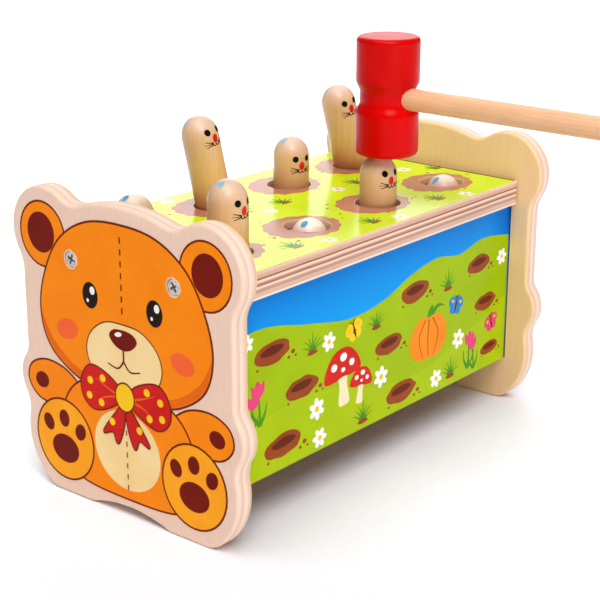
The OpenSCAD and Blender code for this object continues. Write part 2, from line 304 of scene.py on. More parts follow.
def wire(node, inputs):  # a socket in inputs is linked, a number is set
    for socket, value in inputs.items():
        if isinstance(value, bpy.types.NodeSocket):
            node.id_data.links.new(value, node.inputs[socket])
        else:
            node.inputs[socket].default_value = value


def addNode(beside, kind, inputs, **settings):  # into the node tree that holds beside
    node = beside.id_data.nodes.new("ShaderNode" + kind)
    for key, value in settings.items():
        setattr(node, key, value)
    wire(node, inputs)
    return node


def startMaterial(name):
    material = bpy.data.materials.new(name)
    material.use_nodes = True
    where = addNode(material.node_tree, "TexCoord", {}).outputs["Object"]
    return material, material.node_tree.nodes["Principled BSDF"], where


def noise(where, scale, detail, **more):
    return addNode(where, "TexNoise", {"Vector": where, "Scale": scale, "Detail": detail, **more}).outputs[0]


def span(value, low, high, first=0, last=1, **settings):  # low to high becomes first to last
    return addNode(value, "MapRange", {0: value, 1: low, 2: high, 3: first, 4: last}, **settings).outputs[0]


def calc(operation, *values):
    return addNode(values[0], "Math", dict(enumerate(values)), operation=operation).outputs[0]


def part(where, axis):  # one coordinate of a place
    return addNode(where, "SeparateXYZ", {0: where}).outputs[axis]


def stretched(where, scale):  # the place with each axis scaled
    return addNode(where, "Mapping", {"Vector": where, "Scale": scale}).outputs[0]


def shaded(colour, shade):  # the colour made lighter or darker
    return addNode(colour, "VectorMath", {0: colour, 1: shade}, operation="MULTIPLY").outputs[0]


def mix(share, first, second):
    return addNode(share, "Mix", {0: share, 6: first, 7: second}, data_type="RGBA").outputs[2]


def ramp(value, stops):  # stops are (place, hex colour)
    node = addNode(value, "ValToRGB", {0: value})
    elements = node.color_ramp.elements
    while len(elements) < len(stops):
        elements.new(1)
    for element, (place, hexCode) in zip(elements, stops):
        element.position = place
        element.color = linear(hexCode)
    return node.outputs[0]


def bump(strength, deep, height):
    return addNode(height, "Bump", {"Strength": strength, "Distance": deep * mm, "Height": height}).outputs[0]


# birch plywood, sanded and left bare: pale pinkish face veneer, cut edges in light and dark plies
def birchPly(name, axis, first, last, plies, across, streak=0.955):
    material, shader, where = startMaterial(name)
    depth = span(calc("ABSOLUTE", part(where, axis)), first * mm, last * mm)
    waver = span(noise(where, 45, 3), 0, 1, -0.018, 0.018)
    layers = ramp(calc("ADD", depth, waver), plies)
    # grain lines about 0.6 mm apart, long along the boards' height or the plate's length
    stretch = stretched(where, across)
    grain = noise(stretch, 1, 5, Distortion=0.4)
    tone = shaded(layers, span(grain, 0.3, 0.75, 1.02, streak))
    # a few short dark pores
    pores = span(noise(stretch, 2.3, 1), 0.7, 0.78, 0, 0.35)
    wire(shader, {"Base Color": mix(pores, tone, linear("#C59B7C")), "Specular IOR Level": 0.3,
                  "Roughness": span(grain, 0, 1, 0.5, 0.66), "Normal": bump(0.16, 0.15, grain)})
    return material


# screen-printed ink under clear lacquer: even colour with a faint mottle and a satin shine
def screenInk(name, main, deep, rough=0.36, coat=0.02, shine=0.05):
    material, shader, where = startMaterial(name)
    mottle = noise(where, 55, 6, Roughness=0.6)  # patches near 18 mm
    speck = noise(where, 900, 2)  # ink tooth near 1 mm
    wire(shader, {"Base Color": ramp(mottle, [(0.34, main), (0.72, deep)]),
                  "Roughness": span(speck, 0, 1, rough - 0.06, rough + 0.08),
                  "Normal": bump(0.05, 0.05, speck),
                  "Specular IOR Level": shine, "Coat Weight": coat, "Coat Roughness": 0.18})
    return material


def inkSet(kind, rows, *finish):  # rows of (key, shade, main colour, deeper colour)
    return {key: screenInk(shade + kind, main, deep, *finish) for key, shade, main, deep in rows}


plainTone = 0.72  # crown value of an ordinary peg; a value above it adds painted light on the crown, up to 1


# turned hardwood under thin lacquer: straight grain along the peg, pale streaks, soft shine;
# a crown paler towards its top, paler still as painted light on some pegs, and painted shade just above the
# plate
def turnedWood(name, pale, deep, along, rough=0.38, crown=None, baseShade=None):
    material, shader, where = startMaterial(name)
    scale = [650, 650, 650]  # streaks about 1.5 mm across
    scale[along] = 22  # and near 45 mm long
    grain = noise(stretched(where, scale), 1, 5, Roughness=0.55)
    streaks = ramp(grain, [(0.25, pale), (0.55, deep), (0.8, pale)])
    colour = shaded(streaks, span(noise(where, 70, 2), 0, 1, 0.9, 1.08))
    if crown:
        low, high = 115 * mm, 133 * mm  # the painted shade lies just above the plate and fades out here
        baseShadeShare = span(part(where, 2), low, high, 0.62, 0, interpolation_type="SMOOTHSTEP")
        # painted shade: the wood turns darker just above the plate
        colour = mix(baseShadeShare, colour, linear(baseShade))
        share = addNode(where, "Attribute", {}, attribute_name="crown").outputs["Fac"]
        colour = mix(span(share, 0, plainTone), colour, linear(crown))
        # painted light: a crown value above the plain one turns the top near white
        colour = mix(span(share, plainTone, 0.92), colour, linear("#FBE6D6"))
    wire(shader, {"Base Color": colour, "Roughness": span(grain, 0, 1, rough - 0.05, rough + 0.1),
                  "Normal": bump(0.1, 0.1, grain), "Coat Weight": 0.25, "Coat Roughness": 0.2})
    return material


# sprayed enamel on wood: deep even red, wet shine, faint orange peel
def sprayEnamel(name, main, deep):
    material, shader, where = startMaterial(name)
    cloud = noise(where, 60, 3)
    peel = noise(where, 700, 1)  # dimples near 1.4 mm
    wire(shader, {"Base Color": ramp(cloud, [(0.3, main), (0.75, deep)]),
                  "Roughness": span(cloud, 0, 1, 0.24, 0.36), "Normal": bump(0.06, 0.1, peel),
                  "Specular IOR Level": 0.08, "Coat Weight": 0.06, "Coat Roughness": 0.1})
    return material


# zinc-plated steel: light grey, half matt and a little cloudy
def platedSteel(name):
    material, shader, where = startMaterial(name)
    cloud = noise(where, 900, 4)
    wire(shader, {"Base Color": ramp(cloud, [(0.3, "#A8A39D"), (0.7, "#F0ECE6")]),
                  "Roughness": span(cloud, 0, 1, 0.28, 0.5), "Metallic": 1})
    return material


# plies from the inner face of a board to its outer one; the inner face veneer's yellow is a painted
# reflection of the lime plate
boardPlies = [(0, "#F0CB97"), (0.13, "#F0CB97"), (0.17, "#CFA68C"), (0.2, "#E3C0A8"), (0.34, "#E6C4AE"),
              (0.37, "#F0D2BE"), (0.6, "#F0D4C2"), (0.63, "#D3AD94"), (0.66, "#E4C2AB"), (0.8, "#E8C8B4"),
              (0.84, "#F1D1BA"), (1, "#F1CFB8")]
boardWood = birchPly("birch plywood, sanded", axis=0, first=103, last=112, plies=boardPlies,
                     across=(500, 1500, 35))
moleWood = turnedWood("turned beech, lacquered", "#EDBC76", "#E0A452", along=2, crown="#DABAA4",
                      baseShade="#BE6E1A")
handleWood = turnedWood("beech dowel, waxed", "#F7C79C", "#ECB486", along=1)
rockerWood = turnedWood("planed beech", "#E0B98A", "#C99C68", along=1, rough=0.55)
axleWood = turnedWood("beech dowel, bare", "#E4C096", "#D0A674", along=0, rough=0.6)
hammerRed = sprayEnamel("red enamel, sprayed", "#D60000", "#C60000")
screwSteel = platedSteel("zinc-plated steel")
print("woods, enamel and steel ready")


# end boards: the outline is a chain of touching arcs, one half mirrored
boardSizes = {"thick": 9, "edge": 1.5, "outer": 112, "screwPitch": 59, "screwHeight": 109, "sink": 3.6,
              "sinkDeep": 4, "crownTop": 136.4, "crownR": 85, "earR": 20, "earU": 46, "earZ": 117.5,
              "browR": 12, "waist": 60.6, "neckR": 15, "armR": 15, "armU": 50.6, "armZ": 50.3, "elbowR": 8,
              "hipR": 14, "legR": 30, "heelR": 12, "heelU": 43.4, "heelEnd": -52, "archH": 4, "archR": 70,
              "toeR": 8, "arcStep": 3, "broadR": 25, "slot": 0.9, "slotDeep": 2.9, "slotAt": 49.45,
              "slotLow": 22, "slotHigh": 103, "smooth": 40}


def meet(a, fromA, b, fromB, side):  # the point at these distances from a and b
    du, dv = b[0] - a[0], b[1] - a[1]
    d = hypot(du, dv)
    t = (fromA ** 2 - fromB ** 2 + d * d) / (2 * d)
    h = side * sqrt(fromA ** 2 - t * t)
    return a[0] + (du * t - dv * h) / d, a[1] + (dv * t + du * h) / d


def way(a, b, full=False):
    w = degrees(atan2(b[1] - a[1], b[0] - a[0]))
    return w + 360 if full and w < 0 else w


def boardOutline(inset):
    s = boardSizes
    archR, toeR, heelR, legR, hipR, armR = (s[k] for k in ("archR", "toeR", "heelR", "legR", "hipR", "armR"))
    elbowR, neckR, earR, browR, crownR = (s[k] for k in ("elbowR", "neckR", "earR", "browR", "crownR"))
    heelEnd = s["heelEnd"]
    arch = (0, s["archH"] - archR)
    toe = (sqrt(2 * (archR + toeR) * s["archH"] - s["archH"] ** 2), toeR)
    heel = (s["heelU"], heelR)
    leg = (heel[0] - (legR - heelR) * cos(radians(heelEnd)), heel[1] - (legR - heelR) * sin(radians(heelEnd)))
    arm, ear, crown = (s["armU"], s["armZ"]), (s["earU"], s["earZ"]), (0, s["crownTop"] - crownR)
    hip = meet(leg, legR + hipR, arm, armR + hipR, -1)
    elbowU, neckU = s["waist"] + elbowR, s["waist"] + neckR
    elbow = (elbowU, arm[1] + sqrt((armR + elbowR) ** 2 - (elbowU - arm[0]) ** 2))
    neck = (neckU, ear[1] - sqrt((earR + neckR) ** 2 - (neckU - ear[0]) ** 2))
    brow = meet(crown, crownR + browR, ear, earR + browR, 1)
    arcs = [(arch, archR, -1, 90, way(arch, toe)), (toe, toeR, 1, way(toe, arch), -90),
            (heel, heelR, 1, -90, heelEnd), (leg, legR, 1, heelEnd, way(leg, hip)),
            (hip, hipR, -1, way(hip, leg, True), way(hip, arm, True)),
            (arm, armR, 1, way(arm, hip), way(arm, elbow)),
            (elbow, elbowR, -1, way(elbow, arm, True), 180), (neck, neckR, -1, 180, way(neck, ear, True)),
            (ear, earR, 1, way(ear, neck), way(ear, brow)),
            (brow, browR, -1, way(brow, ear), way(brow, crown)), (crown, crownR, 1, way(crown, brow), 90)]
    half = []
    for centre, r, bulge, first, last in arcs:
        steps = max(3, round(abs(last - first) / s["arcStep"] * max(1, r / s["broadR"])))
        for i in range(steps):
            w = radians(first + (last - first) * i / steps)
            half.append((centre[0] + (r - bulge * inset) * cos(w), centre[1] + (r - bulge * inset) * sin(w)))
    half.append((0, s["crownTop"] - inset))
    return half + mirrored(half[-2:0:-1])


def makeBoard(name, side):  # side is -1 for the bear board and 1 for the plain one
    s = boardSizes
    board = cutSheets(name, [([boardOutline(s["edge"])], s["thick"] / 2 - s["edge"], s["edge"])])
    putSheet(board, (90, 0, -90), (side * (s["outer"] - s["thick"] / 2), midY, 0))
    settle(board, name, s["smooth"])
    for end in bothEnds:  # sunk seats for the screw heads
        at = (side * s["outer"], midY + end * s["screwPitch"] / 2, s["screwHeight"])
        cutAway(board, rod(48, s["sink"], s["sinkDeep"], at, (0, 90, 0)))
    for end in bothEnds:  # the panel's groove is a little wide, and shows as a dark line
        at = (side * (s["outer"] - s["thick"]), midY + end * (s["slotAt"] + s["slot"] / 2),
              (s["slotLow"] + s["slotHigh"]) / 2)
        cutAway(board, block((2 * s["slotDeep"], s["slot"], s["slotHigh"] - s["slotLow"]), at))
    dress(board, boardWood)
    keepFlat(settle(board, name, s["smooth"]))
    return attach(board, "box")


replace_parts(makeBoard("bearBoard", -1), "bear_board")
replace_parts(makeBoard("plainBoard", 1), "rear_board")
print("end boards made")


# top plate: ply with eight loose holes, its top printed lime green
plateSizes = {"long": 203.6, "wide": 107, "thick": 12, "top": 115, "film": 0.07, "hole": 21, "drill": 30,
              "pitch": 51, "row": 26.5, "softEdge": 0.3}
columns = [(i - 1.5) * plateSizes["pitch"] for i in range(4)]
# plies from the bottom of the plate to its top
platePlies = [(0, "#F6DCC4"), (0.09, "#F6DCC4"), (0.105, "#B98A72"), (0.12, "#DDB7A2"), (0.24, "#DBB39D"),
              (0.255, "#B98C76"), (0.36, "#CFA491"), (0.375, "#F4D3BC"), (0.445, "#F4D3BC"),
              (0.455, "#965F46"), (0.485, "#A56F57"), (0.565, "#CFA28B"), (0.58, "#F6D3BB"),
              (0.665, "#F6D3BB"), (0.675, "#834628"), (0.715, "#945B42"), (0.735, "#D9AA90"),
              (0.87, "#DCAF96"), (0.885, "#EBC7AC"), (1, "#EBC7AC")]


# plywood with a printed and lacquered top: lime film above, bare plies at the cut edges and in the holes
def printedPly(name):
    s = plateSizes
    material = birchPly(name, 2, s["top"] - s["thick"], s["top"], platePlies, (30, 600, 700),
                        streak=0.86)
    shader = material.node_tree.nodes["Principled BSDF"]
    bare = shader.inputs["Base Color"].links[0].from_socket
    where = addNode(bare, "TexCoord", {}).outputs["Object"]
    film = calc("GREATER_THAN", part(where, 2), (s["top"] - s["film"]) * mm)
    patch = noise(where, 16, 3)  # broad fields near 60 mm
    green = ramp(patch, [(0.32, "#C2E006"), (0.5, "#D0EA08"), (0.7, "#DCF014")])
    wire(shader, {"Base Color": mix(film, bare, green), "Roughness": span(film, 0, 1, 0.6, 0.17)})
    return material


plateInk = printedPly("birch plywood, printed lime top")


def makePlate():
    s = plateSizes
    plate = block((s["long"], s["wide"], s["thick"]), (0, midY, s["top"] - s["thick"] / 2))
    drills = [rod(72, s["hole"] / 2, s["drill"], (x, midY + row * s["row"], s["top"]))
              for x in columns for row in bothEnds]
    cutAway(plate, joinAll(drills))
    softEdges(plate, s["softEdge"], 3)
    dress(plate, plateInk)
    keepFlat(settle(plate, "topPlate", smooth=30))
    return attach(plate, "box")


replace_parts(makePlate(), "top_plate")
print("plate made")


# side panels: thin board with a printed and lacquered sheet, blue sky over green ground
panelSizes = {"long": 211.8, "thick": 5, "low": 22, "high": 103, "frontY": -2.5, "softEdge": 0.5,
              "printFrom": 49.45, "endShadeFrom": 86, "endShadeTo": 103}


# printed sheet under gloss lacquer: sky blue, deeper towards the top, darkened by painted shade near the
# ends, bare fibre at the edges
def printedPanel(name):
    s = panelSizes
    material, shader, where = startMaterial(name)
    height = span(part(where, 2), s["low"] * mm, s["high"] * mm)
    sky = ramp(height, [(0, "#A2BE04"), (0.5, "#A2BE04"), (0.52, "#0EA4F0"), (0.75, "#0294E4"),
                        (1, "#007AD4")])
    across = calc("ABSOLUTE", part(where, 0))
    # painted shade: the sky turns deep blue towards the end boards
    endShade = span(across, s["endShadeFrom"] * mm, s["endShadeTo"] * mm, 0, 0.7)
    away = calc("ABSOLUTE", calc("SUBTRACT", part(where, 1), midY * mm))
    sheet = calc("GREATER_THAN", away, s["printFrom"] * mm)
    fibre = noise(where, 700, 4)  # fibres near 1.4 mm
    core = ramp(fibre, [(0.3, "#C99A62"), (0.7, "#E2BC86")])
    wire(shader, {"Base Color": mix(sheet, core, mix(endShade, sky, linear("#0450BE"))),
                  "Roughness": span(sheet, 0, 1, 0.7, 0.3),
                  "Normal": bump(0.06, 0.1, fibre), "Specular IOR Level": 0.06})
    return material


panelPrint = printedPanel("fibreboard, printed sky")


def makePanel(name, faceY, inward):
    s = panelSizes
    panel = block((s["long"], s["thick"], s["high"] - s["low"]),
                  (0, faceY + inward * s["thick"] / 2, (s["low"] + s["high"]) / 2))
    softEdges(panel, s["softEdge"], 2)
    dress(panel, panelPrint)
    keepFlat(settle(panel, name, smooth=30))
    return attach(panel, "box")


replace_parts(makePanel("frontPanel", panelSizes["frontY"], 1), "front_panel")
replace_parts(makePanel("rearPanel", 2 * midY - panelSizes["frontY"], -1), "rear_panel")
print("panels made")


# screws: countersunk, crossed slot, driven a little under the face
screwSizes = {"head": 7, "rim": 0.4, "rimRound": 0.25, "shank": 3.5, "long": 22, "taper": 3, "tip": 0.4,
              "slot": 4.4, "slotWide": 1.05, "slotDeep": 1.7, "sunk": 0.1, "cross": (45, 135),
              "turn": 40, "turnApart": 25, "smooth": 30}


def makeScrew():
    s = screwSizes
    head, shank = s["head"] / 2, s["shank"] / 2
    screw = turnedShape(48, head, [(s["rim"], head), (s["rim"] + head - shank, shank),
                                   (s["long"] - s["taper"], shank), (s["long"], s["tip"])])
    settle(screw, "screw", s["smooth"])
    roundEdges(screw, lambda a, b: abs(a.z) < near and abs(b.z) < near, s["rimRound"], 2)
    for turn in s["cross"]:
        cutAway(screw, block((s["slot"], s["slotWide"], 2 * s["slotDeep"]), (0, 0, 0), turn))
    dress(screw, screwSteel)
    return settle(screw, "screw", s["smooth"])


def placeScrews():
    s = boardSizes
    first = makeScrew()
    screws = []
    for side in bothEnds:
        for end in bothEnds:
            screw = copyOf(first)
            turn = screwSizes["turn"] + screwSizes["turnApart"] * end
            at = metres(side * (s["outer"] - screwSizes["sunk"]), midY + end * s["screwPitch"] / 2,
                        s["screwHeight"])
            screw.matrix_world = Matrix.Translation(at) @ spin(-90 * side, "Y") @ spin(turn, "Z")
            screws.append(screw)
    bpy.data.objects.remove(first)
    allScrews = joinAll(screws)
    settle(allScrews, "boardScrews", screwSizes["smooth"])
    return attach(allScrews, "box")


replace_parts(placeScrews(), "board_screws")
print("screws made")


# moles: turned pegs with a round crown and a small painted face
moleSizes = {"wide": 17, "dome": 9.5, "top": 29, "foot": -36, "footEdge": 0.8, "leanGap": 0.13,
             "tipGap": 0.05, "plateMid": 109, "eyeApart": 6.4, "eyeDown": 8.6, "eye": 2.7, "noseDown": 12,
             "nose": 3.1, "whiskerDown": 14.1, "whiskers": ((1.5, 5.2), (0.1, 5.6), (-1.3, 5.0)),
             "whisker": 0.56, "lip": 0.62, "crownDot": 3.3, "paleCrown": 17, "paint": 0.02, "paintOff": 0.04,
             "footBand": 3, "smooth": 50}
# for each column: rise of the front mole, then for the front and rear mole the outward lean, the tip
# towards the bear board, the shift in the hole, the turn of the face, how much higher it is painted,
# where the dot sits on the crown and how pale the crown is, above the plain value as painted light
moleStands = [
    {"rise": 7.5, "lean": (0, 0), "tip": (0, 0), "shift": (0, 1.2), "face": (4, -8), "faceUp": (0, 0),
     "dot": ((-4.4, 0), (-4.4, 0)), "pale": (plainTone, 0.9)},
    {"rise": -19.5, "lean": (3, 5.5), "tip": (0, 9), "shift": (1.2, 0), "face": (5, 4), "faceUp": (0, 1.8),
     "dot": ((-4.4, 0), (-3.6, 3.6)), "pale": (1, plainTone)},
    {"rise": -0.5, "lean": (0, 0), "tip": (0, 0), "shift": (0, -1.4), "face": (-9, -13),
     "faceUp": (1.2, -0.9), "dot": ((-1.5, 1.5), (-4.4, 0)), "pale": (plainTone, plainTone)},
    {"rise": -19.5, "lean": (3, 5.5), "tip": (0, 12), "shift": (1.2, 0), "face": (-6, -7), "faceUp": (0, 0.5),
     "dot": ((-5, 1), (-3.6, 3.6)), "pale": (0.86, plainTone)},
]
eyeBlack = screenInk("black brush paint", "#120D0B", "#241913", 0.3, 0.4)
noseRed = screenInk("red brush paint", "#FF3A2E", "#F42A1E", 0.3, 0.2)
crownBlue = screenInk("blue brush paint", "#92DAF4", "#74CAEC", 0.32, 0.6)
paintedLightBlue = screenInk("blue brush paint, worn thin", "#D2F0FA", "#BAE6F6", 0.32, 0.6)


def makeMole():
    s = moleSizes
    r = s["wide"] / 2
    shoulder = s["top"] - s["dome"]
    bpy.ops.mesh.primitive_uv_sphere_add(segments=64, ring_count=32, radius=r * mm)
    mole = bpy.context.object
    editAll(mole)
    bpy.ops.transform.resize(value=(1, 1, s["dome"] / r))
    bpy.ops.mesh.bisect(plane_co=(0, 0, 0), plane_no=(0, 0, 1), clear_inner=True)
    leaveEdit()
    pick(mole, lambda co: abs(co.z) < near)
    for fall in (s["foot"] + s["footEdge"] - shoulder, -s["footEdge"]):
        bpy.ops.mesh.extrude_edges_move(TRANSFORM_OT_translate={"value": (0, 0, fall * mm)})
    narrow = (r - s["footEdge"]) / r
    bpy.ops.transform.resize(value=(narrow, narrow, 1), center_override=(0, 0, 0))
    bpy.ops.mesh.edge_face_add()
    leaveEdit()
    mole.location = metres(0, 0, shoulder)
    dress(mole, moleWood)
    return settle(mole, "mole", s["smooth"])


def toneCrown(mole, pale):  # the crown value falls to 0 where the paler crown stops; above the plain value it is painted light
    s = moleSizes
    crown = mole.data.attributes.new("crown", "FLOAT", "POINT")
    for v, item in zip(mole.data.vertices, crown.data):
        item.value = pale * min(1, max(0, 1 - (s["top"] - v.co.z / mm) / s["paleCrown"]))
    return mole


def paintFace(mole, up, dotAt, dotInk):
    s = moleSizes
    eyeV, noseV, low = (s["top"] - s[k] + up for k in ("eyeDown", "noseDown", "whiskerDown"))
    eye, nose, dot = s["eye"] / 2, s["nose"] / 2, s["crownDot"] / 2
    hairs = []
    for side in bothEnds:
        for rise, far in s["whiskers"]:
            bend = [(side * 1.5, low + 0.25 * rise), (side * 3.4, low + 0.6 * rise), (side * far, low + rise)]
            hairs.append(stroke(bend, s["whisker"], 0.5))
        smile = [(0, low - 0.2), (side * 0.8, low - 1.0), (side * 1.9, low - 0.5)]
        hairs.append(stroke(smile, s["lip"], 0.6))
    eyes = [oval(side * s["eyeApart"] / 2, eyeV, eye, eye * 1.1) for side in bothEnds]
    paints = []
    for name, ink, shapes, cuts in (("eyes", eyeBlack, eyes, 3), ("hairs", eyeBlack, hairs, 1),
                                    ("nose", noseRed, [oval(0, noseV, nose, nose * 1.3)], 3),
                                    ("dot", dotInk, [oval(*dotAt, dot, dot * 0.9)], 3)):
        onTop = name == "dot"
        film = layInk(name, "moleCrown" if onTop else "moleFace", ink, shapes, s["paint"])
        editAll(film)
        bpy.ops.mesh.subdivide(number_cuts=cuts)
        leaveEdit()
        applyModifier(film, "SHRINKWRAP", target=mole, wrap_method="PROJECT", wrap_mode="ABOVE_SURFACE",
                      offset=s["paintOff"] * mm, use_project_x=False, use_project_y=not onTop,
                      use_project_z=onTop, use_negative_direction=onTop, use_positive_direction=not onTop)
        paints.append(film)
    return joinAll([mole] + paints)


def placeMoles():
    s = moleSizes
    first = makeMole()
    for i, stand in enumerate(moleStands):
        for row, side in (("front", -1), ("rear", 1)):
            k = (side + 1) // 2
            lean, tip, shift, pale = (stand[key][k] for key in ("lean", "tip", "shift", "pale"))
            # pegs with a plain crown get a paler dot, as painted light
            blue = crownBlue if pale > plainTone else paintedLightBlue
            mole = paintFace(toneCrown(copyOf(first), pale), stand["faceUp"][k], stand["dot"][k], blue)
            # a leaning mole's foot is a little shorter
            pick(mole, lambda co: co.z < s["foot"] + s["footBand"])
            bpy.ops.transform.translate(value=metres(0, 0, lean * s["leanGap"] + tip * s["tipGap"]))
            leaveEdit()
            at = metres(columns[i], midY + side * (plateSizes["row"] + shift), s["plateMid"])
            rise = metres(0, 0, -side * stand["rise"])
            mole.matrix_world = (Matrix.Translation(at) @ spin(-tip, "Y") @ spin(-side * lean, "X")
                                 @ Matrix.Translation(rise) @ spin(stand["face"][k], "Z"))
            mole.name = mole.data.name = f"mole{row.title()}{i + 1}"
            bakePlace(mole)
            bpy.ops.object.shade_smooth_by_angle(angle=radians(s["smooth"]))
            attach(mole, f"mole_{row}_{i + 1}")
            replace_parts(mole, f"mole_{row}_{i + 1}")
    bpy.data.objects.remove(first)


placeMoles()
print("moles made")


# hammer: turned head in two drums with a waist, and a dowel handle
hammerSizes = {"x": 28, "y": 18, "low": 137.8, "wide": 28.6, "high": 53.2, "waist": 25, "waistHigh": 15.2,
               "waistAt": 26.2, "shoulder": 5.4, "shoulderSteps": 8, "rim": 2.2, "handle": 10, "reach": 131,
               "inside": 8, "endRound": 2, "bore": 40, "boreGap": 0.12, "boreEdge": 0.25, "smooth": 45}


def makeHammerHead():
    s = hammerSizes
    r, step, n = s["wide"] / 2, (s["wide"] - s["waist"]) / 2, s["shoulderSteps"]
    under, over = s["waistAt"] - s["waistHigh"] / 2, s["waistAt"] + s["waistHigh"] / 2
    fall = [(s["shoulder"] * t / n, r - step * (1 - cos(pi * t / n)) / 2) for t in range(n + 1)]
    head = turnedShape(96, r, [(under + d, wide) for d, wide in fall]
                       + [(over - d, wide) for d, wide in fall[::-1]] + [(s["high"], r)])
    settle(head, "hammerHead", smooth=30)
    rims = lambda a, b: abs(a.z - b.z) < near and (a.z < near or a.z > s["high"] - near)
    roundEdges(head, rims, s["rim"], 6)
    head.location = metres(s["x"], s["y"], s["low"])
    settle(head, "hammerHead", s["smooth"])
    at = (s["x"], s["y"] + s["inside"] - s["bore"] / 2, s["low"] + s["waistAt"])
    cutAway(head, rod(64, s["handle"] / 2 + s["boreGap"], s["bore"], at, (90, 0, 0)))
    softEdges(head, s["boreEdge"], 2, 50)
    dress(head, hammerRed)
    keepFlat(settle(head, "hammerHead", s["smooth"]))
    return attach(head, "hammer")


def makeHandle():
    s = hammerSizes
    r, long = s["handle"] / 2, s["inside"] + s["reach"]
    handle = turnedShape(64, r, [(long, r)])
    roundEdges(handle, lambda a, b: min(a.z, b.z) > long - near, s["endRound"], 6)
    handle.rotation_euler = (radians(90), 0, 0)
    handle.location = metres(s["x"], s["y"] + s["inside"], s["low"] + s["waistAt"])
    dress(handle, handleWood)
    keepFlat(settle(handle, "hammerHandle", s["smooth"]))
    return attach(handle, "hammer")


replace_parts(makeHammerHead(), "hammer_head")
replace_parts(makeHandle(), "hammer_handle")
print("hammer made")


# bear figure: a plain sitting teddy with a spotted bow, in flat inks with a brown line;
# the paint is chipped off in a ragged ring round each screw
bearSizes = {"line": 0.9, "firstLift": 0.03, "nextLift": 0.015, "eye": (18.6, 95.6), "foot": 38.4,
             "screw": (29.5, 109), "seat": 3.65, "chip": 3.8, "ragged": 0.55, "chipPoints": 22}
bearInks = inkSet(" ink", [
    ("line", "brown line", "#7A2607", "#6A1E05"),
    ("orange", "orange screen", "#FF8E08", "#FA8404"),
    ("deep", "deep orange screen", "#EC6E06", "#E26404"),
    ("amber", "amber screen", "#FFAC20", "#FC9E12"),
    ("cream", "cream screen", "#FBDFA2", "#F6D28C"),
    ("brown", "dark brown screen", "#781302", "#6C0E02"),
    ("blush", "rose screen", "#FA6A34", "#F4602E"),
    ("black", "black screen", "#1A0E09", "#24140C"),
    ("white", "white screen", "#FBF8F0", "#F4EFE4"),
    ("red", "red screen", "#D81E1A", "#C81612"),
    ("yellow", "yellow screen", "#FFCF1E", "#F8C212")])
bearInks["chip"] = boardWood


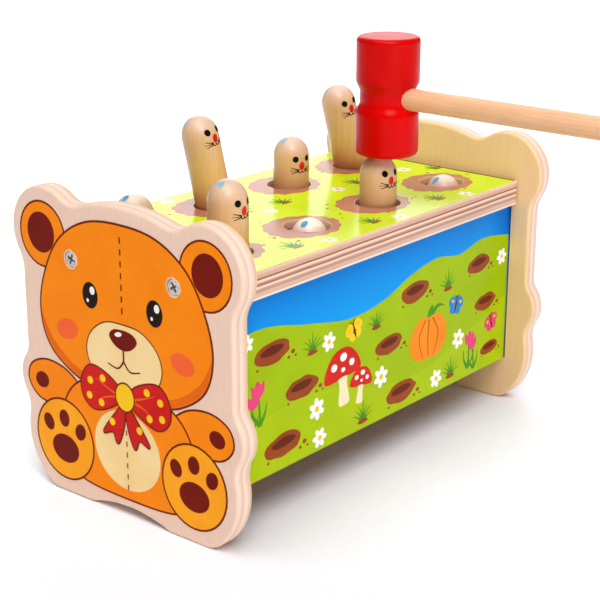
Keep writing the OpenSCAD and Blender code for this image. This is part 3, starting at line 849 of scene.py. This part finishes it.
def bearLayers():
    s = bearSizes
    pairs = lambda shapes: [half for shape in shapes for half in pair(shape)]
    ears, innerEars = pair(oval(46.6, 116.8, 13.3, 13.8)), pair(oval(47.6, 117.4, 8.3, 8.9))
    head = [bothSides([(0, 128.6), (20, 126.2), (36, 116.5), (45.5, 101), (49.5, 84), (45, 68.5),
                       (31, 58.5), (14, 54.8), (0, 54.2)])]
    chin = [bothSides([(0, 57.4), (14, 58.2), (30, 62), (43, 71.5), (49.2, 82), (45, 68.7),
                       (31, 58.7), (14, 55), (0, 54.4)])]
    muzzle = [bothSides([(0, 86.5), (11, 85.2), (19.5, 78.5), (21.5, 69.5), (15.5, 60.6), (0, 57.6)])]
    nose = [bothSides([(0, 84.4), (5.6, 83.6), (8.1, 80.6), (5, 76.9), (0, 75.4)])]
    mouth = [stroke([(0, 76), (0, 70)], 1.0, 1)] + pair(stroke([(0, 70.6), (3.6, 66.9), (9.5, 68)], 1.0, 0.6))
    stitches = [stroke([(0, v), (0, v - 2.6)], 0.75, 1) for v in range(124, 92, -5)]
    eyeU, eyeV = s["eye"]
    eyes = pair(oval(eyeU, eyeV, 4.5, 5.7))
    glints = [oval(side * eyeU + du, eyeV + dv, r, r * 1.2)
              for side in bothEnds for du, dv, r in ((1.4, 2.3, 1.5), (-1.5, -2.4, 0.7))]
    cheeks = pair(oval(33.5, 77.5, 6.6, 4.6, -12))
    body = [bothSides([(0, 60), (20, 58), (33, 50), (39, 36), (38, 20), (28, 10.5), (0, 8.6)])]
    tummy = [oval(0, 30.5, 19.5, 18)]
    seam = [stroke([(0, v), (0, v - 2.4)], 0.7, 1) for v in range(40, 14, -5)]
    arms = pair(through([(27, 51), (36, 58), (48, 59.8), (57.5, 56), (59.8, 48.5), (54, 42), (43, 40.8),
                         (31, 43.5)]))
    pawPads = pair(oval(51.5, 50, 4.3, 3.7, -15))
    foot = s["foot"]
    feet, soles = pair(oval(foot, 25.4, 17.4, 18.2)), pair(oval(foot, 21, 8.4, 6.6))
    toes = pairs([oval(foot + du, v, 3.2, 4.0, turn)
                  for du, v, turn in ((-10, 31.2, 24), (0, 35.2, 0), (10, 31.2, -24))])
    lobe = pair(through([(1.5, 55), (8, 61.6), (19.5, 64.6), (25.6, 58), (25, 49.5), (18.5, 45.2),
                         (8, 48.8)]))
    tail = pair(through([(1, 51), (6.5, 45.5), (13.5, 36), (7.8, 37.4), (5, 32.8), (1.2, 42)]))
    folds = pairs([stroke([(5, 55), (11, 57), (17, 59.6)], 1.1, 0.2),
                   stroke([(5, 54), (11, 52.4), (16, 50)], 1.1, 0.2)])
    knot = [oval(0, 54.8, 5.2, 6)]
    spots = pairs([oval(u, v, 1.7, 1.7)
                   for u, v in ((13, 60.2), (20.6, 57.6), (21.4, 50.6), (14.2, 49), (8, 42))])
    random.seed(4)
    n = s["chipPoints"]
    ragged = [(s["chip"] + s["ragged"] * random.random(), 2 * pi * i / n) for i in range(n)]
    screwU, screwV = s["screw"]
    chips = [through([(u + r * cos(a), screwV + r * sin(a)) for r, a in ragged], True, 3)
             for u in (-screwU, screwU)]

    def edged(ink, shapes, by=s["line"], more=()):  # shapes in an ink over their brown line
        return [("line", [grown(shape, by) for shape in shapes]), (ink, shapes + list(more))]

    return [*edged("orange", ears + arms), ("brown", innerEars + pawPads), *edged("orange", body),
            ("cream", tummy), ("line", seam), *edged("amber", feet), ("brown", soles + toes),
            *edged("orange", head), ("deep", chin), ("blush", cheeks), *edged("cream", muzzle, 0.6),
            ("brown", nose + mouth + stitches), ("black", eyes),
            ("white", glints + [oval(-2.7, 82, 2.1, 1.0, 15)]), *edged("red", tail + lobe, 0.7),
            ("deep", folds), *edged("yellow", knot, 0.7, spots), ("chip", chips)]


def printBear():
    s = bearSizes
    screwU, screwV = s["screw"]
    seats = [oval(u, screwV, s["seat"], s["seat"], 0, 48) for u in (-screwU, screwU)]
    films = {}
    for i, (ink, shapes) in enumerate(bearLayers()):
        film = layInk("bear", "bearFace", bearInks[ink], shapes, s["firstLift"] + i * s["nextLift"], seats)
        films.setdefault(ink, []).append(film)
    for ink, parts in films.items():  # one film for each ink
        film = joinAll(parts)
        film.name = film.data.name = "bearPrint" + ink.title()
        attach(film, "box")


printBear()
print("bear printed")


# meadow motifs shared by the panels and the plate; each adds closed lines to the sheet under an ink's name

def tuft(sheet, u, v, size=1):
    for i, a in enumerate((-58, -36, -18, 2, 20, 40, 60)):
        long = size * (9.5 - 0.055 * abs(a)) * (0.85 + 0.3 * random.random())
        du, dv = sin(radians(a)), cos(radians(a))
        root = u + (i - 3) * 0.45 * size
        blade = [(root, v), (root + 0.45 * long * du * 0.7, v + 0.55 * long * dv),
                 (root + long * du, v + long * dv * 0.92)]
        sheet["leaf"].append(stroke(blade, 1.15 * size, 0.12, 4))
    clod = [(-3.4, -0.6), (-1.5, 0.9), (1.2, 0.8), (3.6, -0.5), (0, -1.3)]
    sheet["soil"].append(through([(u + a * size, v + b * size) for a, b in clod], True, 4))


def daisy(sheet, u, v, size=1, turn=0):
    for a in range(turn, turn + 360, 60):
        at = (u + 2.7 * size * cos(radians(a)), v + 2.7 * size * sin(radians(a)))
        sheet["petal"].append(oval(*at, 2.0 * size, 1.25 * size, a, 16))
    sheet["heart"].append(oval(u, v, 1.25 * size, 1.25 * size, 0, 16))


def rough(ru, rv, n):
    ring = [(2 * pi * i / n, 0.93 + 0.14 * random.random()) for i in range(n)]
    return through([(ru * k * cos(a), rv * k * sin(a)) for a, k in ring], True, 4)


def heap(sheet, u, v, size=1):  # a rough mound of soil with a dark mouth, and crumbs beside it
    sheet["soil"] += moved([rough(12.5, 5.6, 15)], u, v, size, 4)
    sheet["soilDark"] += moved([rough(8, 2.1, 11)], u, v + 1.2 * size, size, 4)
    for a, b, r in ((14.6, -3.2, 1.5), (11.6, -5.4, 1.0), (16.6, -5.6, 0.8), (-10.5, -5.8, 0.9)):
        sheet["soil"].append(oval(u + a * size, v + b * size, r * size, r * 0.75 * size, 0, 14))


def toadstool(sheet, u, v, size=1, lean=0):
    put = lambda *shapes: moved(shapes, u, v, size, lean)
    sheet["stem"] += put(through([(-2.6, 0), (-2.0, 6), (-2.2, 11), (2.2, 11), (2.0, 6), (2.8, 0),
                                  (0, -0.9)]))
    sheet["cap"] += put(bothSides([(0, 19.2), (4.4, 18.2), (8.4, 14), (9.4, 9.6), (4.5, 8.7), (0, 9.3)]))
    sheet["petal"] += put(oval(-4.4, 13.8, 1.5, 1.3), oval(0.6, 16, 1.7, 1.4), oval(4.8, 12.9, 1.3, 1.2),
                          oval(0.2, 11.7, 1.0, 0.8))


def tulip(sheet, u, v, size=1, lean=0):
    put = lambda *shapes: moved(shapes, u, v, size, lean)
    sheet["leaf"] += put(stroke([(0, 0), (0.3, 6), (0, 13)], 1.3, 0.8),
                         stroke([(0, 0.5), (-3.4, 5), (-4.4, 10.5)], 2.4, 0.1),
                         stroke([(0, 0.5), (3.2, 4.4), (4.9, 9.2)], 2.3, 0.1))
    sheet["tulip"] += put(bothSides([(0, 19.6), (1.9, 17.2), (3.9, 18.4), (3.3, 14), (0, 12)]))


def butterfly(sheet, u, v, size=1, turn=0, wing="wing"):
    put = lambda *shapes: moved(shapes, u, v, size, turn)
    sheet[wing] += put(*pair(oval(-3.6, 2.3, 3.7, 2.9, 30)), *pair(oval(-2.7, -2.5, 2.6, 2.1, -32)))
    sheet["heart"] += put(*pair(oval(-3.9, 2.5, 1.2, 1.0)))
    sheet["soilDark"] += put(oval(0, 0, 0.75, 4.0),
                             *pair(stroke([(0.2, 3.6), (0.9, 5.4), (2.1, 6.3)], 0.5, 0.6)))


def pumpkin(sheet, u, v, size=1):
    put = lambda *shapes: moved(shapes, u, v, size)
    sheet["leaf"] += put(stroke([(0, 8), (0.4, 11.5), (2.6, 13.6)], 2.6, 0.7),
                         stroke([(1.5, 10), (6, 13), (10.5, 12)], 2.6, 0.1))
    sheet["gourd"] += put(bothSides([(0, 9.6), (6, 10), (11.4, 5), (11.6, -2.6), (6, -7.2), (0, -7)]))
    sheet["gourdLine"] += put(stroke([(0, 8.8), (-0.5, 1), (0, -6.4)], 0.9, 0.5),
                              *pair(stroke([(-2.4, 9), (-6.4, 2), (-3.4, -6.6)], 0.9, 0.4)))


meadowInks = inkSet(" sheet ink", [
    ("ground", "meadow green", "#A2BE04", "#98B402"),
    ("ground2", "young green", "#ACC408", "#A2BA06"),
    ("leaf", "leaf green", "#4E961A", "#3C8214"),
    ("soil", "earth brown", "#9C4A20", "#8C3E18"),
    ("soilDark", "dark earth", "#6B2810", "#5C200C"),
    ("stem", "cream", "#F7E6C2", "#F0DAB0"),
    ("cap", "red", "#D62A1C", "#C62014"),
    ("tulip", "pink", "#E8487C", "#DC3C70"),
    ("wing", "blue", "#1E88DC", "#1678CC"),
    ("wing2", "yellow", "#FFD028", "#F8C41A"),
    ("gourd", "orange", "#F8901C", "#F08412"),
    ("gourdLine", "deep orange", "#C85A0C", "#BC500A"),
    ("petal", "white", "#FBFBF6", "#F2F2EC"),
    ("heart", "golden", "#F8BE14", "#F0B20C")], 0.3)
inkLift = 0.02  # each ink of a sheet lies this much higher than the one under it


def printSheet(name, surface, sheet, order, firstLift, holes=()):
    films = []
    for i, ink in enumerate(k for k in order if sheet.get(k)):
        lift = firstLift + inkLift * i
        film = layInk(name + ink[0].upper() + ink[1:], surface, meadowInks[ink], sheet[ink], lift, holes)
        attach(film, "box")
        films.append(film)
    return films


def drawMotifs(sheet, motifs, kinds):
    for kind, draw in kinds:
        for values in motifs[kind]:
            draw(sheet, *values)


# panel print: rolling meadow under the sky; u along the panel and v up from the table, in mm
panelMotifs = {
    "corners": [(102.8, 22.15), (-102.8, 22.15)], "firstLift": 0.03,
    "skyline": [(-102.8, 87), (-80, 88), (-52, 82), (-24, 77), (0, 79), (22, 86), (42, 89), (60, 86.5),
                (80, 90), (102.8, 87)],
    "rise": [(-102.8, 42), (-70, 50), (-36, 48), (0, 38), (34, 37), (68, 45), (102.8, 57)],
    "heaps": [(-76, 76, 0.9), (-57, 55, 0.85), (24, 77, 0.85), (77, 78, 0.75), (5, 57, 0.8), (84, 57, 0.72),
              (-69, 33, 0.95), (15, 31, 0.9), (89, 32, 0.6)],
    "tufts": [(-50, 69, 1.0), (-5, 68, 0.95), (51, 72, 1.0), (-95, 29, 1.2), (-14, 26, 1.1), (55, 27, 1.05),
              (-96, 68, 0.9)],
    "daisies": [(-92, 84, 0.9, 20), (-39, 70.5, 0.95, 10), (-47, 42, 1.1, 35), (-45, 28, 1.0, 0),
                (-1, 43, 1.1, 20), (43, 29, 1.0, 45), (61, 44, 1.05, 15), (97, 77, 0.9, 5)],
    "toadstools": [(-28, 39, 1.35, 4), (-17, 36, 0.85, -8)],
    "tulips": [(-84, 46, 1.05, 4), (-90.5, 44, 0.9, -9), (70, 26, 1.0, -4), (75.5, 24.5, 0.9, 8)],
    "pumpkins": [(36, 50, 1.2)],
    "butterflies": [(-21, 70.5, 0.85, 18, "wing2"), (58, 61.5, 0.85, -14, "wing"),
                    (90, 44.5, 0.8, 16, "tulip")],
}
sheetOrder = ["ground", "ground2", "leaf", "soil", "stem", "cap", "gourd", "gourdLine", "wing", "wing2",
              "tulip", "soilDark", "petal", "heart"]


def printPanels():
    m = panelMotifs
    random.seed(21)
    sheet = {ink: [] for ink in sheetOrder}
    for ink, line in (("ground", "skyline"), ("ground2", "rise")):
        sheet[ink].append(through(m[line], False, 10) + m["corners"])
    drawMotifs(sheet, m, (("heaps", heap), ("tufts", tuft), ("toadstools", toadstool), ("tulips", tulip),
                          ("pumpkins", pumpkin), ("daisies", daisy), ("butterflies", butterfly)))
    for film in printSheet("frontPrint", "frontFace", sheet, sheetOrder, m["firstLift"]):
        twin = copyOf(film)  # the other side carries the same sheet, turned half round
        twin.parent = None
        twin.matrix_world = Matrix.Translation(metres(0, 2 * midY, 0)) @ spin(180, "Z")
        twin.name = twin.data.name = film.name.replace("front", "rear")
        bakePlace(twin)
        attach(twin, "box")


printPanels()
print("panels printed")


# plate print: a crumbly ring of earth round every hole, tufts and daisies between; u along the plate,
# v across it; the rings are printed a little off the holes
plateMotifs = {
    "firstLift": 0.02, "border": 1.6, "borderInset": (0.5, 0.6), "holeGap": 0.3,
    "ring": (18.4, 15.6), "offset": (-3, 0.6), "lobes": 13, "lobeSteps": 8, "crumbs": 9, "crumbGap": 2.5,
    "crumbReach": (100, 51),
    "tufts": [(-97, -9, 0.95), (-53, -44, 1.05), (-52, 2, 1.0), (-2, -46, 1.0), (-2, 5, 1.0), (49, -45, 1.05),
              (49, 2, 1.0), (97, -10, 0.9), (-53, 42, 1.0), (-2, 43, 0.95), (49, 42, 0.95), (97, 42, 0.9)],
    "daisies": [(-68, -3, 0.9, 0), (-95, 47, 0.9, 20), (-37, -48, 0.85, 40), (-36, 48, 0.9, 10),
                (12, -49, 0.9, 0), (-18, 1, 0.85, 30), (32, 2, 0.9, 15), (64, -49, 0.9, 5),
                (66, 48, 0.85, 25), (84, 1, 0.9, 50), (-88, -48, 0.85, 12)],
}
# these inks lie under the plate's clear film and share its shine
meadowInks.update(inkSet(" ink, under film", [
    ("ring", "russet earth", "#BA7862", "#AC6A54"),
    ("ringDark", "umber earth", "#8C4F3A", "#7E4432"),
    # painted shade for the joint at each end of the plate
    ("border", "dark border", "#3E5208", "#34460A"),
    ("plateLeaf", "leaf", "#3E8A2C", "#2F7A26"),
    ("plateSoil", "soil", "#9A5030", "#8A4428"),
    ("platePetal", "petal", "#FBF8EC", "#F2EEDC"),
    ("plateHeart", "heart", "#F6C23A", "#F0A830")], 0.17, 0, 0.3))


def drawRing(sheet, x, v):
    m = plateMotifs
    hole = plateSizes["hole"] / 2
    ringU, ringV = x + m["offset"][0], v + m["offset"][1]
    onRing = lambda a, r: (ringU + m["ring"][0] * r * cos(a), ringV + m["ring"][1] * r * sin(a))
    rim, turn, n = [], 2 * pi * random.random(), m["lobeSteps"]
    for i in range(m["lobes"]):  # round lobes of loose earth, no two quite alike
        bulge, wide = 0.07 + 0.06 * random.random(), 0.8 + 0.4 * random.random()
        for j in range(n):
            a = turn + 2 * pi * (i + 0.5 + wide * (j / n - 0.5)) / m["lobes"]
            rim.append(onRing(a, 0.95 + bulge * sqrt(sin(pi * (j + 0.3) / n))))
    sheet["ring"].append(rim)
    farU, farV = m["crumbReach"]
    for i in range(m["crumbs"]):
        a, r = 2 * pi * random.random(), 0.82 + 0.5 * random.random()
        spot = onRing(a, r)
        clear = hypot(spot[0] - x, spot[1] - v) > hole + m["crumbGap"]
        if clear and abs(spot[0]) < farU and abs(spot[1]) < farV:
            wide, high = 0.5 + 0.6 * random.random(), 0.35 + 0.3 * random.random()
            sheet["ringDark"].append(oval(*spot, wide, high, 0, 12))


def printPlate():
    m, s = plateMotifs, plateSizes
    random.seed(8)
    order = ["border", "ring", "ringDark", "plateLeaf", "plateSoil", "platePetal", "plateHeart"]
    sheet = {ink: [] for ink in sheetOrder + order}
    holes = []
    gap = s["hole"] / 2 + m["holeGap"]
    for x in columns:
        for row in bothEnds:
            holes.append(oval(x, row * s["row"], gap, gap, 0, 72))
            drawRing(sheet, x, row * s["row"])
    drawMotifs(sheet, m, (("tufts", tuft), ("daisies", daisy)))
    for ink in order[3:]:  # what the motifs drew is printed in the plate's own inks
        sheet[ink] = sheet[ink[5:].lower()]
    outer, half = s["long"] / 2 - m["borderInset"][0], s["wide"] / 2 - m["borderInset"][1]
    inner = outer - m["border"]
    for end in bothEnds:  # a dark strip of painted shade lies along the end boards, in the joint
        corners = [(outer, -half), (outer, half), (inner, half), (inner, -half)]
        sheet["border"].append([(end * u, v) for u, v in corners])
    printSheet("platePrint", "plateFace", sheet, order, m["firstLift"], holes)


printPlate()
print("plate printed")


# the parts inside the box keep their solids and get their woods
for node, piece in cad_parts.items():
    wood = rockerWood if node.startswith("rocker_") and node != "rocker_axle" else axleWood
    if node.startswith(("rocker_", "axle_", "end_sleeves", "stop_pin")):
        for place in piece.material_slots:
            place.material = wood
print("inner woods set")


# studio: white floor, soft light all round, a large lamp overhead, a lamp on the front left, a low white
# card in front that lights the panel, and a bright wall behind; a lamp has its power in watts, then its
# size, place and aim in metres
studio = {"sky": 0.13, "floor": 8, "lamps": {
    "keyLamp": (18, (1.3, 1.3), (-0.45, 0, 1.68), (0, 0.05, 0.1)),
    "fillLamp": (22, (1, 1), (-0.85, -1.05, 1.72), (0, 0, 0.08)),
    "cardLamp": (5.2, (1.2, 0.1), (-0.25, -1.2, 0.06), (0, 0, 0.06)),
    "wallLamp": (27, (2.2, 2.2), (2.1, 1.75, 1.45), (0, 0, 0.3)),
    "backLamp": (32, (1.6, 1.6), (0.5, 0.45, 1.2), (1.9, 1.6, 0))}}


# white paper sweep: matt and even, with a faint tooth
def paperSweep(name):
    material, shader, where = startMaterial(name)
    tooth = noise(where, 300, 2)  # fibres near 3 mm
    wire(shader, {"Base Color": ramp(tooth, [(0.2, "#F6F5FB"), (0.8, "#FBFBFF")]), "Roughness": 0.9})
    return material


def makeStudio():
    bpy.ops.mesh.primitive_plane_add(size=studio["floor"], location=(0, 0, 0))
    floor = bpy.context.object
    floor.name = "studioFloor"
    dress(floor, paperSweep("white paper sweep"))
    world = bpy.context.scene.world or bpy.data.worlds.new("studioWorld")
    bpy.context.scene.world = world
    world.use_nodes = True
    background = next(n for n in world.node_tree.nodes if n.type == "BACKGROUND")
    background.inputs[0].default_value = linear("#F8F8FF")
    background.inputs[1].default_value = studio["sky"]
    for name, (power, size, at, aim) in studio["lamps"].items():
        lamp = bpy.data.lights.new(name, "AREA")
        lamp.shape = "RECTANGLE"
        lamp.energy = power
        lamp.size, lamp.size_y = size
        holder = bpy.data.objects.new(name, lamp)
        holder.location = at
        holder.rotation_euler = (Vector(aim) - Vector(at)).to_track_quat("-Z", "Y").to_euler()
        holder.visible_camera = False
        holder.visible_glossy = name != "cardLamp"  # the card gives light but no streak of gloss
        bpy.context.scene.collection.objects.link(holder)


makeStudio()

# camera: long lens from the front left, looking a little down
cameraSet = {"at": (-522.3, -384.5, 295.6), "yaw": 39.5, "down": 18.52, "roll": -0.11, "lens": 92.1,
             "sensor": 36}
camera = bpy.data.cameras.new("photoCamera")
camera.lens = cameraSet["lens"]
camera.sensor_width = cameraSet["sensor"]
cameraHolder = bpy.data.objects.new("photoCamera", camera)
cameraHolder.location = metres(*cameraSet["at"])
cameraTurn = (90 - cameraSet["down"], cameraSet["roll"], cameraSet["yaw"] - 90)
cameraHolder.rotation_euler = [radians(a) for a in cameraTurn]
bpy.context.scene.collection.objects.link(cameraHolder)
bpy.context.scene.camera = cameraHolder
bpy.context.scene.view_settings.view_transform = "Standard"
print("studio and camera set")
